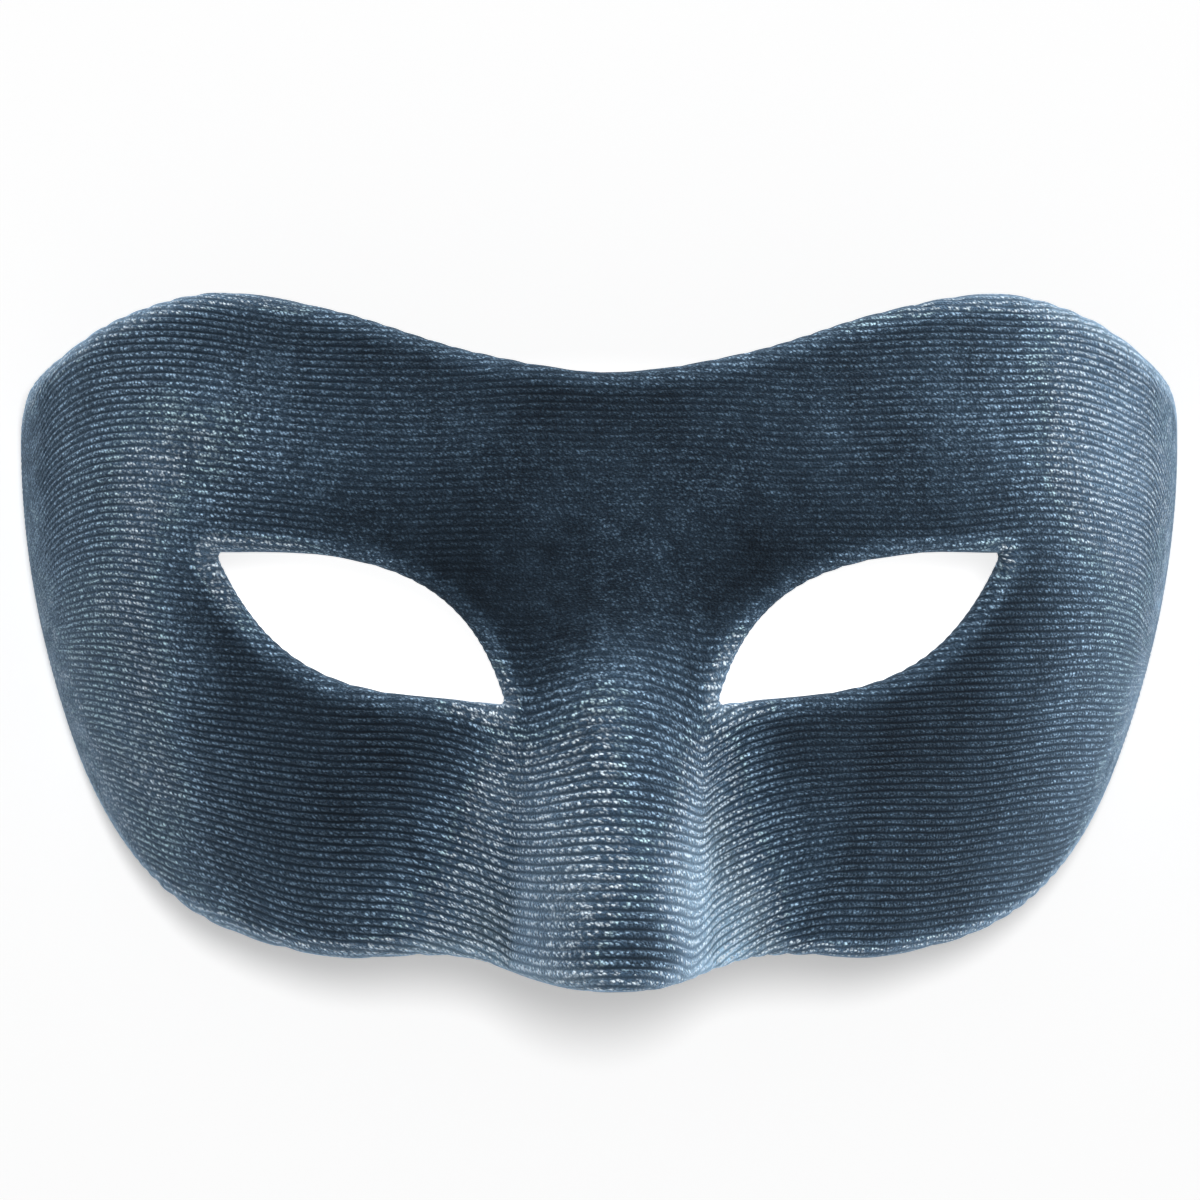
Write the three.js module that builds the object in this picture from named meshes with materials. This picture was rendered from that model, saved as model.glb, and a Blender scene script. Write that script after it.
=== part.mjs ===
// Velvet masquerade half mask in millimetres: a thin moulded shell, and the ribbed velvet wrapped round it.
// It lies on its back and rests on its two temple edges.
// +X is the viewer's right, +Y the forehead and +Z out of the face. x = 0 is the mask's plane of symmetry.
import * as THREE from "three";

// Wall: the velvet goes over the shell's front, round every edge, and ends in a strip glued to the back
const SHELL = 1.2;
const GLUE_GAP = 0.3;
const VELVET = 0.8;
const EDGE_R = SHELL / 2 + GLUE_GAP + VELVET;
const OUTLINE_TURN_IN = 8;
const EYE_TURN_IN = 6;

// The strips stand off the shell's back by this much more, so their flat facets clear its hollows
const TURN_IN_LIFT = 0.3;

// The temple edges are pressed flat where they rest, this far below the middle of the wall
const REST_DEPTH = 1.4;

// The finished mask's origin is on the plane it rests on, at this height of the outline, its middle
const MIDDLE_Y = -1.19;

// The bowl bends round the head: its slope grows from level at the nose to upright at the temples
const MASK_WIDTH = 173.2;
const HALF_WIDTH = MASK_WIDTH / 2 - EDGE_R;
const BEND = 1.8;
const BEND_STEPS = 400;

// The bowl is deepest at the brow. It rolls back above the brow, and falls away slowly below it
const BROW_Y = 15;
const BROW_DEPTH = 51;
const FOREHEAD_R = 110;
const FACE_R = 330;

// Below the widest row the temples draw in along an arc
const WIDEST_Y = 28;
const TEMPLE_ARC_R = 126;

// Nose: a straight ridge that grows out of the face below the nasion
const NASION_Y = 3;
const NOSE_RISE = 0.37;
const NOSE_HALF_WIDTH = 12.5;
const NOSE_FLARE = 0.02;
const NOSE_SHOULDER = 2;
const NOSE_FILLET = 3.5;

// Soft forms: how high each stands, the place of its top on the right side, and its reach along x and y
const EYE_SOCKET = { height: -3.5, x: 36, y: 1, reachX: 22, reachY: 13 };
const CHEEK = { height: 3, x: 31, y: -36, reachX: 15, reachY: 20 };
const NASION_DIP = { height: -2, x: 0, y: 4, reachX: 14, reachY: 12 };

// Half outline of the middle of the wall on the unrolled mask, as [arc length from the nose line, y]
const TOP_EDGE = [
  [0, 35.1], [20, 38], [40, 44], [57, 46.8], [72, 44.3], [90, 37.9], [102, 33.4], [108.5, 28.8],
];
const BOTTOM_EDGE = [
  [0, -49.2], [8, -49], [15, -48.1], [21, -46.7], [27, -45.3], [36, -44.9], [52, -45.5],
  [70, -43.4], [82, -40.2], [92, -35.2], [100, -29], [108, -19.5],
];
const REST_LOW_Y = -12.5;
const REST_HIGH_Y = 22;

// Eye hole on the unrolled mask: two curves between the tear-duct corner and the outer corner
const EYE_INNER = new THREE.Vector2(13, -13);
const EYE_OUTER = new THREE.Vector2(62, 12.5);
const EYE_UPPER = [new THREE.Vector2(18.5, 9.5), new THREE.Vector2(33, 14)];
const EYE_LOWER = [new THREE.Vector2(31.5, -9), new THREE.Vector2(52, -15.5)];

// Mesh: a seam runs from the nose line through the eye hole to the temple, with rows above and below it
const SEAM_NOSE_Y = -11;
const SEAM_TEMPLE_Y = 7;
const NOSE_COLUMNS = 6;
const EYE_COLUMNS = 12;
const EYE_GRADING = 1.35;
const TEMPLE_COLUMNS = 7;
const COLUMNS = NOSE_COLUMNS + EYE_COLUMNS + TEMPLE_COLUMNS;
const ROWS = 7;

// Running sums of the bend's run and drop, a little past the temple, for an arc of length 1
const bendTable = [{ run: 0, drop: 0 }];
for (let k = 0; k < BEND_STEPS * 1.1; k++) {
  const angle = (Math.PI / 2) * ((k + 0.5) / BEND_STEPS) ** BEND;
  const { run, drop } = bendTable[k];
  bendTable.push({ run: run + Math.cos(angle) / BEND_STEPS, drop: drop + Math.sin(angle) / BEND_STEPS });
}
const HALF_ARC = HALF_WIDTH / bendTable[BEND_STEPS].run;

// Run and drop of the bowl at arc length s, the drop as a share of the whole
function bend(s) {
  const place = (Math.abs(s) / HALF_ARC) * BEND_STEPS;
  const k = Math.floor(place);
  const part = place - k;
  const run = bendTable[k].run + part * (bendTable[k + 1].run - bendTable[k].run);
  const drop = bendTable[k].drop + part * (bendTable[k + 1].drop - bendTable[k].drop);
  return { run: Math.sign(s) * run * HALF_ARC, drop: drop / bendTable[BEND_STEPS].drop };
}

function bowlDepth(y) {
  const radius = y > BROW_Y ? FOREHEAD_R : FACE_R;
  return BROW_DEPTH - (y - BROW_Y) ** 2 / (2 * radius);
}

function widthShare(y) {
  const below = Math.min(y - WIDEST_Y, 0);
  return 1 - below ** 2 / (2 * TEMPLE_ARC_R * HALF_WIDTH);
}

// The nose's arch over its base line, rounded off where it meets the cheeks
function noseHeight(x, y) {
  const ridge = NOSE_RISE * (NASION_Y - y);
  const halfWidth = NOSE_HALF_WIDTH + NOSE_FLARE * Math.max(NASION_Y - y, 0);
  const arch = ridge - (x / halfWidth) ** 2 * (Math.abs(ridge) + NOSE_SHOULDER);
  return (arch + Math.hypot(arch, NOSE_FILLET)) / 2;
}

function softForm(form, x, y) {
  const across = (Math.abs(x) - form.x) / form.reachX;
  const along = (y - form.y) / form.reachY;
  return form.height * Math.exp(-(across ** 2) - along ** 2);
}

// Middle of the wall at arc length s and height y
function wallPoint(s, y) {
  const { run, drop } = bend(s);
  const x = run * widthShare(y);
  const forms = [EYE_SOCKET, CHEEK, NASION_DIP].map((form) => softForm(form, x, y));
  const z = bowlDepth(y) * (1 - drop) + noseHeight(x, y) + forms.reduce((sum, h) => sum + h, 0);
  return new THREE.Vector3(x, y, z);
}

function wallNormal(s, y) {
  const step = 0.05;
  const across = wallPoint(s + step, y).sub(wallPoint(s - step, y));
  const up = wallPoint(s, y + step).sub(wallPoint(s, y - step));
  return across.cross(up).normalize();
}

// A smooth curve through [place, value] knots: each knot's slope is that of the line between its neighbours
function curveThrough(knots, firstSlope) {
  const last = knots.length - 1;
  const slopes = knots.map((_, k) => {
    const before = knots[Math.max(k - 1, 0)];
    const after = knots[Math.min(k + 1, last)];
    return k === 0 ? firstSlope : (after[1] - before[1]) / (after[0] - before[0]);
  });
  return (place) => {
    const found = knots.findIndex((knot) => knot[0] >= place);
    const k = found < 0 ? last : Math.max(found, 1);
    const [from, to] = [knots[k - 1], knots[k]];
    const span = to[0] - from[0];
    const t = (place - from[0]) / span;
    const rise = t * t * (3 - 2 * t);
    return (
      (1 - rise) * from[1] + rise * to[1] +
      t * (1 - t) ** 2 * span * slopes[k - 1] - t * t * (1 - t) * span * slopes[k]
    );
  };
}
const topEdge = curveThrough(TOP_EDGE, 0);
const bottomEdge = curveThrough(BOTTOM_EDGE, 0);

// The side edge: straight where it rests, with a rounded corner to the bottom edge and to the top edge
const lowCorner = new THREE.Vector2(...BOTTOM_EDGE.at(-1));
const highCorner = new THREE.Vector2(...TOP_EDGE.at(-1));
const restLow = new THREE.Vector2(HALF_ARC, REST_LOW_Y);
const restHigh = new THREE.Vector2(HALF_ARC, REST_HIGH_Y);
const cornerKnot = (corner, rest) => new THREE.Vector2(HALF_ARC, (corner.y + rest.y) / 2);
const lowBend = new THREE.QuadraticBezierCurve(lowCorner, cornerKnot(lowCorner, restLow), restLow);
const highBend = new THREE.QuadraticBezierCurve(restHigh, cornerKnot(highCorner, restHigh), highCorner);

function sidePoints(from, to, curve) {
  const path = new THREE.CurvePath();
  const line = new THREE.LineCurve(from, to);
  const parts = curve === lowBend ? [curve, line] : [line, curve];
  parts.forEach((piece) => path.add(piece));
  return path.getSpacedPoints(ROWS);
}
const seamEnd = new THREE.Vector2(HALF_ARC, SEAM_TEMPLE_Y);
const sideBelow = sidePoints(restLow, seamEnd, lowBend);
const sideAbove = sidePoints(seamEnd, restHigh, highBend);

// Points along a curve, closer together near its start where the grading is over 1
function pointsAlong(curve, count, grading = 1) {
  return Array.from({ length: count + 1 }, (_, k) => curve.getPointAt((k / count) ** grading));
}

// One point for each column of half the mask: from the nose line, along the eye hole, and on to the temple
function columnPoints(noseEnd, eyeCurve, templeEnd) {
  return [
    ...pointsAlong(new THREE.LineCurve(noseEnd, eyeCurve.getPoint(0)), NOSE_COLUMNS),
    ...pointsAlong(eyeCurve, EYE_COLUMNS, EYE_GRADING).slice(1),
    ...pointsAlong(new THREE.LineCurve(eyeCurve.getPoint(1), templeEnd), TEMPLE_COLUMNS).slice(1),
  ];
}

function seamPoints(handles) {
  const eyeCurve = new THREE.CubicBezierCurve(EYE_INNER, ...handles, EYE_OUTER);
  return columnPoints(new THREE.Vector2(0, SEAM_NOSE_Y), eyeCurve, seamEnd);
}

function edgePoints(edge, cornerS) {
  const places = [0, EYE_INNER.x, EYE_OUTER.x, cornerS].map((s) => new THREE.Vector2(s, 0));
  const points = columnPoints(places[0], new THREE.LineCurve(places[1], places[2]), places[3]);
  return points.map(({ x: s }) => new THREE.Vector2(s, edge(s)));
}

// Columns run straight from the low edge to the high one, and share the side edge's bulge
function halfBlock(low, high, side) {
  return low.map((foot, i) =>
    side.map((edge, j) => {
      const bulge = side[0].clone().lerp(side[ROWS], j / ROWS).sub(edge).multiplyScalar(-i / COLUMNS);
      return foot.clone().lerp(high[i], j / ROWS).add(bulge);
    }),
  );
}
const belowSeam = halfBlock(edgePoints(bottomEdge, lowCorner.x), seamPoints(EYE_LOWER), sideBelow);
const aboveSeam = halfBlock(seamPoints(EYE_UPPER), edgePoints(topEdge, highCorner.x), sideAbove);

// The whole flat mesh: its points, its quads, and its three edge loops with the wall on their left
function flatMesh() {
  const points = [];
  const add = (i, { x, y }) => points.push(new THREE.Vector2(Math.sign(i) * x, y)) - 1;
  const columns = Array.from({ length: 2 * COLUMNS + 1 }, (_, c) => c - COLUMNS);
  const inEye = (i) => Math.abs(i) > NOSE_COLUMNS && Math.abs(i) < NOSE_COLUMNS + EYE_COLUMNS;
  const below = columns.map((i) => belowSeam[Math.abs(i)].map((point) => add(i, point)));
  const above = columns.map((i, c) =>
    aboveSeam[Math.abs(i)].map((point, j) => (j === 0 && !inEye(i) ? below[c][ROWS] : add(i, point))),
  );

  // The left half starts each quad one corner on, so the diagonals of the two halves mirror each other
  const mirrored = (c, [a, ...rest]) => (c < COLUMNS ? [...rest, a] : [a, ...rest]);
  const quads = [below, above].flatMap((block) =>
    block.slice(1).flatMap((column, c) =>
      column.slice(1).map((corner, j) => mirrored(c, [block[c][j], column[j], corner, block[c][j + 1]])),
    ),
  );

  // The loops run anticlockwise round the outline and clockwise round the eye holes
  const last = 2 * COLUMNS;
  const outline = [
    ...below.map((column) => column[0]),
    ...below[last].slice(1),
    ...above[last].slice(1),
    ...above.slice(0, last).reverse().map((column) => column[ROWS]),
    ...above[0].slice(1, ROWS).reverse(),
    ...below[0].slice(1).reverse(),
  ];
  const eyeLoop = (from, to) => [
    ...above.slice(from, to).map((column) => column[0]),
    ...below.slice(from + 1, to + 1).reverse().map((column) => column[ROWS]),
  ];
  const inner = NOSE_COLUMNS;
  const outer = NOSE_COLUMNS + EYE_COLUMNS;
  const loops = [
    { turnIn: OUTLINE_TURN_IN, points: outline },
    { turnIn: EYE_TURN_IN, points: eyeLoop(COLUMNS - outer, COLUMNS - inner) },
    { turnIn: EYE_TURN_IN, points: eyeLoop(COLUMNS + inner, COLUMNS + outer) },
  ];
  return { points, quads, loops };
}
const flat = flatMesh();

// Away from the wall at a loop's corner, long enough for a mitred edge
function mitre(before, after) {
  const sum = before.clone().add(after);
  return sum.divideScalar(1 + before.dot(after));
}

// Each loop point with its place, the wall's normal, and the ways out of the wall in space and on the flat
function framesOf(loop) {
  const flats = loop.points.map((index) => flat.points[index]);
  const places = flats.map(({ x, y }) => wallPoint(x, y));
  const count = flats.length;
  return flats.map((point, k) => {
    const before = (k + count - 1) % count;
    const after = (k + 1) % count;
    const normal = wallNormal(point.x, point.y);
    const outward = (from, to) => places[to].clone().sub(places[from]).cross(normal).normalize();
    const flatOutward = (from, to) => {
      const run = flats[to].clone().sub(flats[from]).normalize();
      return new THREE.Vector2(run.y, -run.x);
    };
    const flatSum = flatOutward(before, k).add(flatOutward(k, after));
    return {
      point,
      normal,
      place: places[k],
      out: mitre(outward(before, k), outward(k, after)),
      flatOut: flatSum.normalize(),
    };
  });
}
const frames = flat.loops.map(framesOf);

// Rings of a swept edge: round ones go about the middle of the wall, flat ones lie on the back of it
const round = (radius, degrees) => ({ place, normal, out }) => {
  const angle = THREE.MathUtils.degToRad(degrees);
  const across = normal.clone().multiplyScalar(radius * Math.cos(angle));
  return place.clone().add(across).addScaledVector(out, radius * Math.sin(angle));
};
const turnedIn = (depth, share) => ({ point, flatOut }, turnIn) => {
  const { x, y } = point.clone().addScaledVector(flatOut, -turnIn * share);
  return wallPoint(x, y).addScaledVector(wallNormal(x, y), -depth - TURN_IN_LIFT);
};

// A closed mesh: a front skin and a back skin, joined round every loop by the rings between them
function wrappedWall(frontHeight, rings, backHeight) {
  const corners = [];
  const triangles = [];
  const quad = (a, b, c, d) => triangles.push(a, b, c, a, c, d);
  const put = (place) => corners.push(place) - 1;
  const skin = (height) =>
    flat.points.map(({ x, y }) => put(wallPoint(x, y).addScaledVector(wallNormal(x, y), height)));
  const front = skin(frontHeight);
  const back = skin(backHeight);
  for (const [a, b, c, d] of flat.quads) {
    quad(front[a], front[b], front[c], front[d]);
    quad(back[a], back[d], back[c], back[b]);
  }
  flat.loops.forEach((loop, l) => {
    const swept = rings.map((ring) => frames[l].map((frame) => put(ring(frame, loop.turnIn))));
    const all = [loop.points.map((k) => front[k]), ...swept, loop.points.map((k) => back[k])];
    const count = loop.points.length;
    for (let r = 1; r < all.length; r++) {
      for (let k = 0; k < count; k++) {
        const next = (k + 1) % count;
        quad(all[r - 1][k], all[r][k], all[r][next], all[r - 1][next]);
      }
    }
  });
  const lifted = ({ x, y, z }) => [x, y - MIDDLE_Y, Math.max(z, -REST_DEPTH) + REST_DEPTH];
  const positions = corners.flatMap(lifted);
  const geometry = new THREE.BufferGeometry();
  geometry.setAttribute("position", new THREE.Float32BufferAttribute(positions, 3));
  geometry.setIndex(triangles);
  geometry.computeVertexNormals();
  return geometry;
}

function velvetCover() {
  const inner = EDGE_R - VELVET;
  const rings = [
    round(EDGE_R, 60), round(EDGE_R, 120), round(EDGE_R, 180),
    turnedIn(EDGE_R, 0.5), turnedIn(EDGE_R, 1), turnedIn(inner, 1), turnedIn(inner, 0.5),
    round(inner, 180), round(inner, 90),
  ];
  const material = new THREE.MeshStandardMaterial({ color: 0x33506e, roughness: 0.95, metalness: 0 });
  return new THREE.Mesh(wrappedWall(EDGE_R, rings, inner), material);
}

function mouldedShell() {
  const rings = [round(SHELL / 2, 90)];
  const material = new THREE.MeshStandardMaterial({ color: 0x1c222b, roughness: 0.8, metalness: 0 });
  return new THREE.Mesh(wrappedWall(SHELL / 2, rings, -SHELL / 2), material);
}

const meshes = { velvet_cover: velvetCover(), moulded_shell: mouldedShell() };
const group = new THREE.Group();
for (const [name, mesh] of Object.entries(meshes)) {
  mesh.name = name;
  group.add(mesh);
}
export default group;
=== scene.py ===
import math

import bpy
import numpy as np
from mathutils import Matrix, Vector, geometry, kdtree, noise


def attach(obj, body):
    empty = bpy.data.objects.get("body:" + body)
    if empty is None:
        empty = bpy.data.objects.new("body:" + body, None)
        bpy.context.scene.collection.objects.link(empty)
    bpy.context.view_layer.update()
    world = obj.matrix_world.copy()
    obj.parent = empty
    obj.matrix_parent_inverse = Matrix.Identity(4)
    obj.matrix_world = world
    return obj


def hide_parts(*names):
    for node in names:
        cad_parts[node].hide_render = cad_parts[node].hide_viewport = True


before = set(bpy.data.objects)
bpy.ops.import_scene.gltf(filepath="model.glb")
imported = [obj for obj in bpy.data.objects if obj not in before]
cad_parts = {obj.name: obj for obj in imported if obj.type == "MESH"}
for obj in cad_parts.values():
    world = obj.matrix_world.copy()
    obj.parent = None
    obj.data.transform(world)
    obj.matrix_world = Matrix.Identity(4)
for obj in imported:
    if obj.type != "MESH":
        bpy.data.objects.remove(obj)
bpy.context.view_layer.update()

# The mask is worked out in millimetres on its unrolled pattern: s runs across the face from the nose line
# along the bend of the bowl, and y runs up to the forehead.
MM = 0.001

# Wall
SHELL = 1.2
GLUE_GAP = 0.3
VELVET = 0.8
EDGE_R = SHELL / 2 + GLUE_GAP + VELVET
INNER_R = EDGE_R - VELVET
OUTLINE_TURN_IN = 8.0
EYE_TURN_IN = 6.0
TURN_IN_LIFT = 0.3
REST_DEPTH = 1.4
MIDDLE_Y = -1.19

# Bowl
HALF_WIDTH = 173.2 / 2 - EDGE_R
BEND = 1.8
BEND_STEPS = 400
BROW_Y = 15.0
BROW_DEPTH = 51.0
FOREHEAD_R = 110.0
FACE_R = 330.0
WIDEST_Y = 28.0
TEMPLE_ARC_R = 126.0

# Nose and soft forms
NASION_Y = 3.0
NOSE_RISE = 0.37
NOSE_HALF_WIDTH = 12.5
NOSE_FLARE = 0.02
NOSE_SHOULDER = 2.0
NOSE_FILLET = 3.5
SOFT_FORMS = [
    # height, x, y, reach along x, reach along y
    (-3.5, 36.0, 1.0, 22.0, 13.0),
    (3.0, 31.0, -36.0, 15.0, 20.0),
    (-2.0, 0.0, 4.0, 14.0, 12.0),
]

# Outline and eye holes on the pattern
TOP_EDGE = [(0, 35.1), (20, 38), (40, 44), (57, 46.8), (72, 44.3), (90, 37.9), (102, 33.4), (108.5, 28.8)]
BOTTOM_EDGE = [
    (0, -49.2), (8, -49), (15, -48.1), (21, -46.7), (27, -45.3), (36, -44.9), (52, -45.5),
    (70, -43.4), (82, -40.2), (92, -35.2), (100, -29), (108, -19.5),
]
REST_LOW_Y = -12.5
REST_HIGH_Y = 22.0
EYE_UPPER = [(13.9, -13), (18.1, 9.4), (33, 14), (61.6, 12.5)]
EYE_LOWER = [(13.9, -13), (32, -9.3), (52, -15.5), (61.6, 12.5)]
EYE_CORNER_R = 2.6
CORNER_SEARCH = 9.0
LOOP_STEP = 0.45

# Ribs of the velvet, the grid of its front, whose rows follow them, and the tufts of its pile
RIB_PITCH = 1.04
RIB_RELIEF = 0.32
ROWS_PER_RIB = 4
ROWS = range(-238, 242)
LEAST_ROW_RISE = 0.03
COLUMN_STEP = 1.1
COLUMN_REACH = 113.3
TUFT_STEP = 0.55
TUFT_WIDTH = 0.36

# Grids of the lining under the velvet and of the shell, and the strip's ragged edge and its puckers
LINING_STEP = 4.0
SHELL_STEP = 2.2
RAGGEDNESS = 0.7
PUCKERS = 0.12

# How the ribs wander over the face: at each s, how far they sink low on the nose, how far more beside its
# bridge, how far at the top of the temples, and how far at every height
RIB_BENDS = [
    (-125, 0, 0, -19, 5.9),
    (-111, 0, 0, -18, 5.8),
    (-105, 0, 0, -16.5, 5.6),
    (-98, 0, 0, -12, 5.3),
    (-90, 0, 0, -5.8, 5.0),
    (-82, -0.9, 0, -2.3, 4.7),
    (-75, -1.2, 0, -1.0, 4.2),
    (-60, -2.4, 0, 0, 2.3),
    (-46, -2.1, 0, 0, 0.6),
    (-38, -2.2, 0, 0, 0),
    (-31, -3.3, 0, 0, 0),
    (-24, -4.9, -0.3, 0, 0),
    (-18, -7.0, -0.9, 0, 0),
    (-12, -7.8, -1.3, 0, 0),
    (-7, -7.6, -0.4, 0, 0),
    (-2, -7.2, 0.5, 0, 0),
    (5, -7.2, 0, 0, 0),
    (10, -7.9, -1.6, 0, 0),
    (13.5, -8.8, -2.9, 0, 0),
    (17, -7.0, -2.0, 0, 0),
    (22, -4.5, -0.6, 0, 0),
    (30, -1.4, 0, 0, 0),
    (38, -0.2, 0, 0, 0),
    (45, 0, 0, 0, 0.2),
    (60, 0, 0, 0, 0.9),
    (68, 0, 0, -0.3, 1.3),
    (75, 0, 0, -1.2, 1.6),
    (82, 0, 0, -2.8, 1.8),
    (90, 0, 0, -5.6, 1.9),
    (98, 0, 0, -12.5, 2.0),
    (105, 0, 0, -17, 2.1),
    (111, 0, 0, -18.5, 2.2),
    (125, 0, 0, -19.5, 2.3),
]

# Rib coordinates where the ribs begin to sink on the nose, are lowest beside its bridge, and begin to bend at
# the temples, each with how far that spreads
NOSE_BEND_V, NOSE_BEND_SPREAD = -5, 28
BRIDGE_BEND_V, BRIDGE_BEND_REACH = -12, 10.5
TEMPLE_BEND_V, TEMPLE_BEND_SPREAD = -8, 30

# How the ribs waver: height, length along s, turn with the rib coordinate, start
RIB_WAVES = [
    (0.22, 9.0, 1 / 17, 0),
    (0.16, 4.3, -1 / 11, 1),
    (0.3, 31, 0, 2),
    (0.05, 1.3, 2.7, 0),
    (0.05, 2.4, -3.4, 2),
]

# How far the ribs shift along y as they crowd together and spread apart, at each rib coordinate
RIB_CROWDING = [
    (-75, -0.4), (-45, 0.55), (-38, 0.83), (-30, 1.0), (-23, 0.72), (-12, 0), (-5, -0.2),
    (4, -0.05), (12, 0.23), (21, 0.33), (30, 0.44), (37, 0.5), (43, 0.2), (50, -0.5), (75, -0.5),
]

# Where the pile is crushed flat: share, s, y, reach along s and y
CRUSHED_ZONES = [(0.65, 0, 16, 60, 26), (0.4, 0, 6, 16, 11)]

# The same towards the ends of both temples: share, where it begins, and where it is full
CRUSHED_TEMPLES = 0.9
CRUSHED_FROM_S, CRUSHED_TO_S = 88, 100

# How bright the pile looks, in doublings: everywhere, in soft mottles, in the crushed pile's fine mottles,
# and along every edge, where the brightening is a painted highlight
PLAIN_GLOW = 0.44
MOTTLED_GLOW = 0.25
CRUSHED_GLOW = 0.9
RIM_PAINTED_SHEEN = 1.7
RIM_REACH = 1.4

# Painted sheen and painted shade: zones where the pile's colour is made brighter where it would catch the
# light and darker where it would swallow it. Doublings of its brightness, s, y, reach along s and y
PAINTED_SHEEN_ZONES = [
    (1.1, -72, 2, 10, 25),
    (1.5, -56, 25, 19, 15.5),
    (1.6, -78, -13, 40, 40),
    (-1.95, -26, -17, 8.5, 12),
    (-2.5, -50, -3, 40, 40),
    (3.15, -22, -18, 10.5, 40),
    (2.85, -35, -35, 17, 11),
    (4.2, 2, -4, 10, 16.5),
    (-3, 6, -31, 9, 25),
    (3.35, 11, -32, 33, 21),
    (1.45, 18, -7, 6.5, 16.5),
    (3.3, 24, -45, 7, 9),
    (-2.75, 30, -19, 40, 40),
    (-2.9, -31, -33, 23, 9.5),
    (-0.85, 63, 6, 21, 11),
    (1.65, 76, 20, 16.5, 40),
    (0.95, 103, -8, 12, 40),
    (-3, 0, 48, 40, 10),
    (-1.15, -5, 40, 25, 23),
    (-3, -22, 4, 9.5, 16.5),
    (-3, -1, 1, 10.5, 11),
    (-1.2, 19, 7, 7, 7.5),
    (1.15, 11, -19, 5, 7),
    (1.65, 18, -39, 5.5, 19.5),
    (1.35, -6, -34, 6, 12),
    (1.7, 5, -33, 10, 12.5),
    (1.55, 12, -40, 5.5, 9.5),
    (1.3, 12, -32, 5, 9),
]

# The unrolled layout that the materials are baked on: how sheets of the pattern go into it, and how many
# quads of a strip make a row, with their width and height
LAYOUT_LEFT = 0.02
PATTERN_LEFT, PATTERN_LOW = -125, -55
SHEET_SCALE = 0.0038
LINING_SCALE = 0.0019
STRIP_QUADS = 500
STRIP_QUAD = 0.0019
STRIP_RING = 0.0045

# Cloth coordinates for each millimetre
CLOTH_SCALE = 0.01

# Nap of cloth that is out of sight: how upright it stands, and how bright it looks
PLAIN_NAP = np.array([1.0, 0.6])

# Camera
LENS = 200
CAMERA_TURN = math.radians(1.9)
CAMERA_DISTANCE = 1000.0
AIM_Y = 4.2


def smooth_step(t):
    t = np.clip(t, 0, 1)
    return t * t * (3 - 2 * t)


# Running sums of the bend's run and drop for an arc of length 1, and a little beyond
angles = (math.pi / 2) * ((np.arange(int(BEND_STEPS * 1.2)) + 0.5) / BEND_STEPS) ** BEND
bend_run = np.concatenate([[0], np.cumsum(np.cos(angles))]) / BEND_STEPS
bend_drop = np.concatenate([[0], np.cumsum(np.sin(angles))]) / BEND_STEPS
HALF_ARC = HALF_WIDTH / bend_run[BEND_STEPS]


def wall_point(s, y):
    """Middle of the wall at places on the pattern, as rows of x, y, z."""
    place = np.abs(s) / HALF_ARC * BEND_STEPS
    steps = np.arange(len(bend_run))
    run = np.sign(s) * np.interp(place, steps, bend_run) * HALF_ARC
    drop = np.interp(place, steps, bend_drop) / bend_drop[BEND_STEPS]
    x = run * (1 - np.minimum(y - WIDEST_Y, 0) ** 2 / (2 * TEMPLE_ARC_R * HALF_WIDTH))
    depth = BROW_DEPTH - (y - BROW_Y) ** 2 / (2 * np.where(y > BROW_Y, FOREHEAD_R, FACE_R))
    ridge = NOSE_RISE * (NASION_Y - y)
    half_width = NOSE_HALF_WIDTH + NOSE_FLARE * np.maximum(NASION_Y - y, 0)
    arch = ridge - (x / half_width) ** 2 * (np.abs(ridge) + NOSE_SHOULDER)
    z = depth * (1 - drop) + (arch + np.hypot(arch, NOSE_FILLET)) / 2
    for height, at_x, at_y, reach_x, reach_y in SOFT_FORMS:
        z = z + height * np.exp(-(((np.abs(x) - at_x) / reach_x) ** 2) - ((y - at_y) / reach_y) ** 2)
    return np.stack(np.broadcast_arrays(x, y, z), -1)


def unit(vectors):
    return vectors / np.linalg.norm(vectors, axis=-1, keepdims=True)


def wall_normal(s, y, step=0.05):
    across = wall_point(s + step, y) - wall_point(s - step, y)
    up = wall_point(s, y + step) - wall_point(s, y - step)
    return unit(np.cross(across, up))


def curve_through(knots, places):
    """A smooth curve through (place, value) knots, level at its first knot."""
    at, value = np.array(knots, float).T
    slope = np.zeros(len(at))
    slope[1:-1] = (value[2:] - value[:-2]) / (at[2:] - at[:-2])
    slope[-1] = (value[-1] - value[-2]) / (at[-1] - at[-2])
    k = np.clip(np.searchsorted(at, places) - 1, 0, len(at) - 2)
    span = at[k + 1] - at[k]
    t = (places - at[k]) / span
    rise = t * t * (3 - 2 * t)
    ease = t * (1 - t) ** 2 * span * slope[k] - t * t * (1 - t) * span * slope[k + 1]
    return (1 - rise) * value[k] + rise * value[k + 1] + ease


def bezier(points, count):
    t = np.linspace(0, 1, count)[:, None]
    rows = [np.array(p, float)[None] * np.ones_like(t) for p in points]
    while len(rows) > 1:
        rows = [a * (1 - t) + b * t for a, b in zip(rows, rows[1:])]
    return rows[0]


def respaced(line, step):
    """The same closed line with its points evenly spaced."""
    line = np.vstack([line, line[:1]])
    lengths = np.concatenate([[0], np.cumsum(np.linalg.norm(np.diff(line, axis=0), axis=1))])
    count = int(round(lengths[-1] / step))
    at = np.linspace(0, lengths[-1], count + 1)
    return np.stack([np.interp(at, lengths, line[:, k]) for k in (0, 1)], -1)[:-1]


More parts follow.
